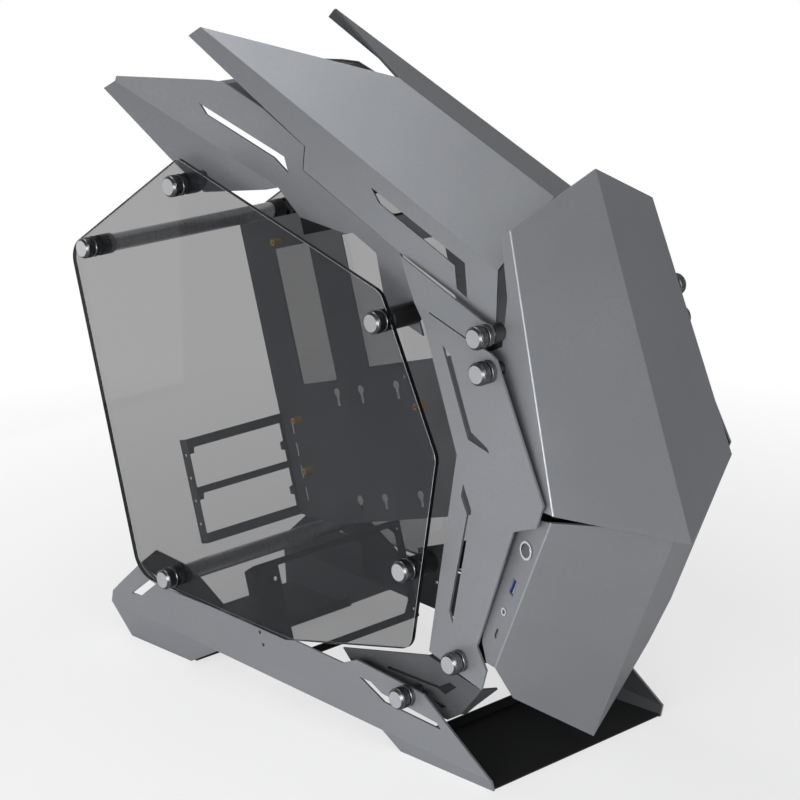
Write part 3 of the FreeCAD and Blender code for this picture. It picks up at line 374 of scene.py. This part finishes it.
def tinted_glass():
    """Dark tinted glass: each face lets part of the light through, the ground rim lets none, and the bevels
    carry a painted highlight.

    The panes stand square to X, so a face's X normal tells faces, bevels and rim apart.
    """
    g = Graph("tinted_glass")
    geometry = g.node("ShaderNodeNewGeometry")
    split = g.node("ShaderNodeSeparateXYZ")
    g.put(geometry.outputs["True Normal"], split.inputs[0])
    side = g.math("ABSOLUTE", split.outputs["X"])
    rim = g.span(side, 0.98, 0.9, 0.0, 1.0)
    bevel = g.math("MULTIPLY", rim, g.span(side, 0.2, 0.5, 0.0, 1.0))
    dust = g.noise(35.0, 3.0)
    tone = g.mix(rim, GLASS_FACE, GLASS_RIM)
    # painted highlight on the bevels
    tone = g.mix(bevel, tone, GLASS_BEVEL_HIGHLIGHT)
    alpha = g.span(rim, 0.0, 1.0, GLASS_COVER, 1.0)
    roughness = g.spread(dust, 0.02, 0.04)
    return g.finish(tone, roughness, 0.0, None, Alpha=alpha)


def make_materials():
    """Every material by name; most names are the record's slots."""
    return {
        "sheet": blasted("sheet", 0.27),
        # the sheet's finish at a lower level: painted shade for plates that stand in shade
        "dark_sheet": blasted("dark_sheet", 0.12),
        "black_steel": painted("black_steel", 0.012),
        "grey_steel": painted("grey_steel", 0.12),
        "brass": turned("brass", (0.95, 0.6, 0.16, 1.0), 0.4, (1, 12, 12), 0.6),
        "rod_steel": turned("rod_steel", (0.62, 0.62, 0.64, 1.0), 0.3, (30, 1, 1)),
        "screw_steel": turned_face("screw_steel", (0.66, 0.67, 0.69, 1.0), 0.36),
        "screw_barrel": turned("screw_barrel", (0.1, 0.1, 0.105, 1.0), 0.25, (40, 1, 1)),
        "tinted_glass": tinted_glass(),
        "black_plastic": plastic("black_plastic", (0.012, 0.012, 0.013, 1.0), 0.35),
        "white_plastic": plastic("white_plastic", (0.42, 0.43, 0.45, 1.0), 0.4),
        "button_metal": turned("button_metal", (0.22, 0.225, 0.235, 1.0), 0.22, (1, 1, 12)),
        "port_metal": port_shell("port_metal", (0.008, 0.008, 0.009, 1.0)),
        "blue_port": port_shell("blue_port", (0.006, 0.035, 0.15, 1.0)),
        "circuit_board": plastic("circuit_board", (0.01, 0.05, 0.02, 1.0), 0.4),
    }


def dress_nodes():
    """Gives each CAD node the material of its slot."""
    for row in ROWS:
        node = NODES[row["node"]]
        node.data.materials.clear()
        node.data.materials.append(MATERIALS[row["material_slot"]])


def add_piece(name, mesh, body, node, place=(0, 0, 0), turn=0.0):
    """A piece that stands for a CAD node, which it hides."""
    piece = bpy.data.objects.new(name, mesh)
    piece.location = place
    piece.rotation_euler = (0, 0, turn)
    bpy.context.scene.collection.objects.link(piece)
    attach(piece, body)
    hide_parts(node)
    return piece


def crisp_piece(node, slot, width, body):
    """A copy of a CAD node with broken edges, and with smooth round parts where its slot has them."""
    smooth = slot in ROUND_SLOTS
    bm = bmesh.new()
    bm.from_mesh(NODES[node].data)
    bmesh.ops.remove_doubles(bm, verts=bm.verts, dist=SAME_POINT)
    bmesh.ops.dissolve_limit(bm, angle_limit=FLAT, verts=bm.verts, edges=bm.edges)
    sharp = [edge for edge in bm.edges if len(edge.link_faces) == 2 and edge.calc_face_angle(0.0) > SHARP]
    bmesh.ops.bevel(bm, geom=sharp, offset=width, offset_type="OFFSET", segments=1, profile=0.5,
                    affect="EDGES", clamp_overlap=True)
    for face in bm.faces:
        face.smooth = smooth
    mesh = bpy.data.meshes.new(node + "_crisp")
    bm.to_mesh(mesh)
    bm.free()
    mesh.materials.append(MATERIALS[OWN_LOOKS.get(node, slot)])
    piece = add_piece(node + "_crisp", mesh, body, node)
    if smooth:
        piece.modifiers.new("normals", "WEIGHTED_NORMAL").keep_sharp = True


def revolve(bm, profile, material_index):
    """A turned surface about X: rings of (radius, depth) points joined by quads, knurled where widest."""
    steps = 2 * KNURLS
    rings = []
    for radius, depth in profile:
        if radius == 0:
            rings.append([bm.verts.new((depth, 0, 0))])
            continue
        ring = []
        for i in range(steps):
            turn = 2 * math.pi * i / steps
            reach = radius
            if radius == HEAD_RADIUS and i % 2:
                reach -= KNURL_DEPTH
            ring.append(bm.verts.new((depth, reach * math.cos(turn), reach * math.sin(turn))))
        rings.append(ring)
    for first, second in zip(rings, rings[1:]):
        for i in range(steps):
            j = (i + 1) % steps
            corners = [first[i % len(first)], first[j % len(first)],
                       second[j % len(second)], second[i % len(second)]]
            face = bm.faces.new(list(dict.fromkeys(corners)))
            face.material_index = material_index
            face.smooth = True


def screw_mesh():
    """A thumb screw along X, with the face of its cap at x = 0: turned cap, knurled barrel, shank."""
    bm = bmesh.new()
    revolve(bm, SCREW_CAP, 0)
    revolve(bm, SCREW_BARREL, 1)
    bmesh.ops.remove_doubles(bm, verts=bm.verts, dist=SAME_RING)
    bmesh.ops.recalc_face_normals(bm, faces=bm.faces)
    bmesh.ops.scale(bm, vec=(MILLIMETRE, MILLIMETRE, MILLIMETRE), verts=bm.verts)
    for edge in bm.edges:
        if len(edge.link_faces) == 2 and edge.calc_face_angle(0.0) > SCREW_CREASE:
            edge.smooth = False
    mesh = bpy.data.meshes.new("thumb_screw")
    bm.to_mesh(mesh)
    bm.free()
    mesh.materials.append(MATERIALS["screw_steel"])
    mesh.materials.append(MATERIALS["screw_barrel"])
    return mesh


def dress_screws():
    """Detailed thumb screws in place of the plain ones."""
    mesh = screw_mesh()
    for row in ROWS:
        node = row["node"]
        if "screw" not in node:
            continue
        low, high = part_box(node)
        left = node.startswith("left")
        place = (low.x if left else high.x, (low.y + high.y) / 2, (low.z + high.z) / 2)
        turn = 0.0 if left else math.pi
        add_piece(node + "_turned", mesh.copy(), CASE, node, place, turn)


def dress_sheets():
    """Crisp copies of everything that shows its edges."""
    for row in ROWS:
        slot = row["material_slot"]
        if slot in CRISP:
            body = BUTTON if row["node"] == "power_button" else CASE
            crisp_piece(row["node"], slot, CRISP[slot], body)


def floor_material():
    """Pale and shaded near the object, and white further out for the camera and through glass."""
    g = Graph("floor")
    distance = g.node("ShaderNodeVectorMath", operation="LENGTH")
    g.put(g.place, distance.inputs[0])
    far = g.span(distance.outputs["Value"], *FLOOR_FADE, FLOOR_NEAR_WHITE, 1.0)
    mirrored = g.span(distance.outputs["Value"], *FLOOR_GLOSS_FADE, 0.0, FLOOR_GLOSS)
    diffuse = g.node("ShaderNodeBsdfDiffuse")
    diffuse.inputs["Color"].default_value = FLOOR_COLOUR
    glow = g.node("ShaderNodeEmission")
    glow.inputs["Color"].default_value = WHITE
    path = g.node("ShaderNodeLightPath")
    seen = g.math("MAXIMUM", path.outputs["Is Camera Ray"], path.outputs["Is Transmission Ray"])
    glow_share = g.math("ADD", g.math("MULTIPLY", far, seen),
                        g.math("MULTIPLY", mirrored, path.outputs["Is Glossy Ray"]))
    blend = g.node("ShaderNodeMixShader")
    g.put(glow_share, blend.inputs[0])
    g.put(diffuse.outputs[0], blend.inputs[1])
    g.put(glow.outputs[0], blend.inputs[2])
    out = g.node("ShaderNodeOutputMaterial")
    g.put(blend.outputs[0], out.inputs["Surface"])
    return g.material


def make_stage():
    """A floor that fades into the white surround."""
    mesh = bpy.data.meshes.new("floor")
    bm = bmesh.new()
    bmesh.ops.create_grid(bm, x_segments=1, y_segments=1, size=FLOOR_SIZE)
    bm.to_mesh(mesh)
    bm.free()
    floor = bpy.data.objects.new("floor", mesh)
    bpy.context.scene.collection.objects.link(floor)
    mesh.materials.append(floor_material())


def sky(level):
    """The surround's faintly blue grey."""
    return (level * 0.97, level * 0.985, level, 1.0)


def make_world():
    """White for the camera and through glass, a weaker grey for gloss, and a faint fill."""
    world = bpy.data.worlds.new("world")
    bpy.context.scene.world = world
    world.use_nodes = True
    tree = world.node_tree
    tree.nodes.clear()
    path = tree.nodes.new("ShaderNodeLightPath")

    def background(colour):
        made = tree.nodes.new("ShaderNodeBackground")
        made.inputs["Color"].default_value = colour
        return made.outputs[0]

    def choose(ray, other, this):
        """What such rays see, over what the other rays see."""
        mix = tree.nodes.new("ShaderNodeMixShader")
        tree.links.new(path.outputs[ray], mix.inputs[0])
        tree.links.new(other, mix.inputs[1])
        tree.links.new(this, mix.inputs[2])
        return mix.outputs[0]

    white = background(WHITE)
    shade = choose("Is Glossy Ray", background(sky(FILL)), background(sky(GLOSS)))
    shade = choose("Is Transmission Ray", shade, white)
    shade = choose("Is Camera Ray", shade, white)
    out = tree.nodes.new("ShaderNodeOutputWorld")
    tree.links.new(shade, out.inputs["Surface"])


def make_lamps():
    """Soft area lamps, which the camera doesn't see."""
    for name, place, aim, width, height, spread, power in LAMPS:
        data = bpy.data.lights.new(name, "AREA")
        data.shape = "RECTANGLE"
        data.size = width
        data.size_y = height
        data.spread = math.radians(spread)
        data.energy = power
        lamp = bpy.data.objects.new(name, data)
        lamp.location = place
        lamp.visible_camera = False
        lamp.rotation_euler = (Vector(aim) - Vector(place)).to_track_quat("-Z", "Y").to_euler()
        bpy.context.scene.collection.objects.link(lamp)


make_camera()
MATERIALS = make_materials()
dress_nodes()
dress_sheets()
dress_screws()
make_stage()
make_world()
make_lamps()
bpy.context.scene.view_settings.view_transform = "Standard"
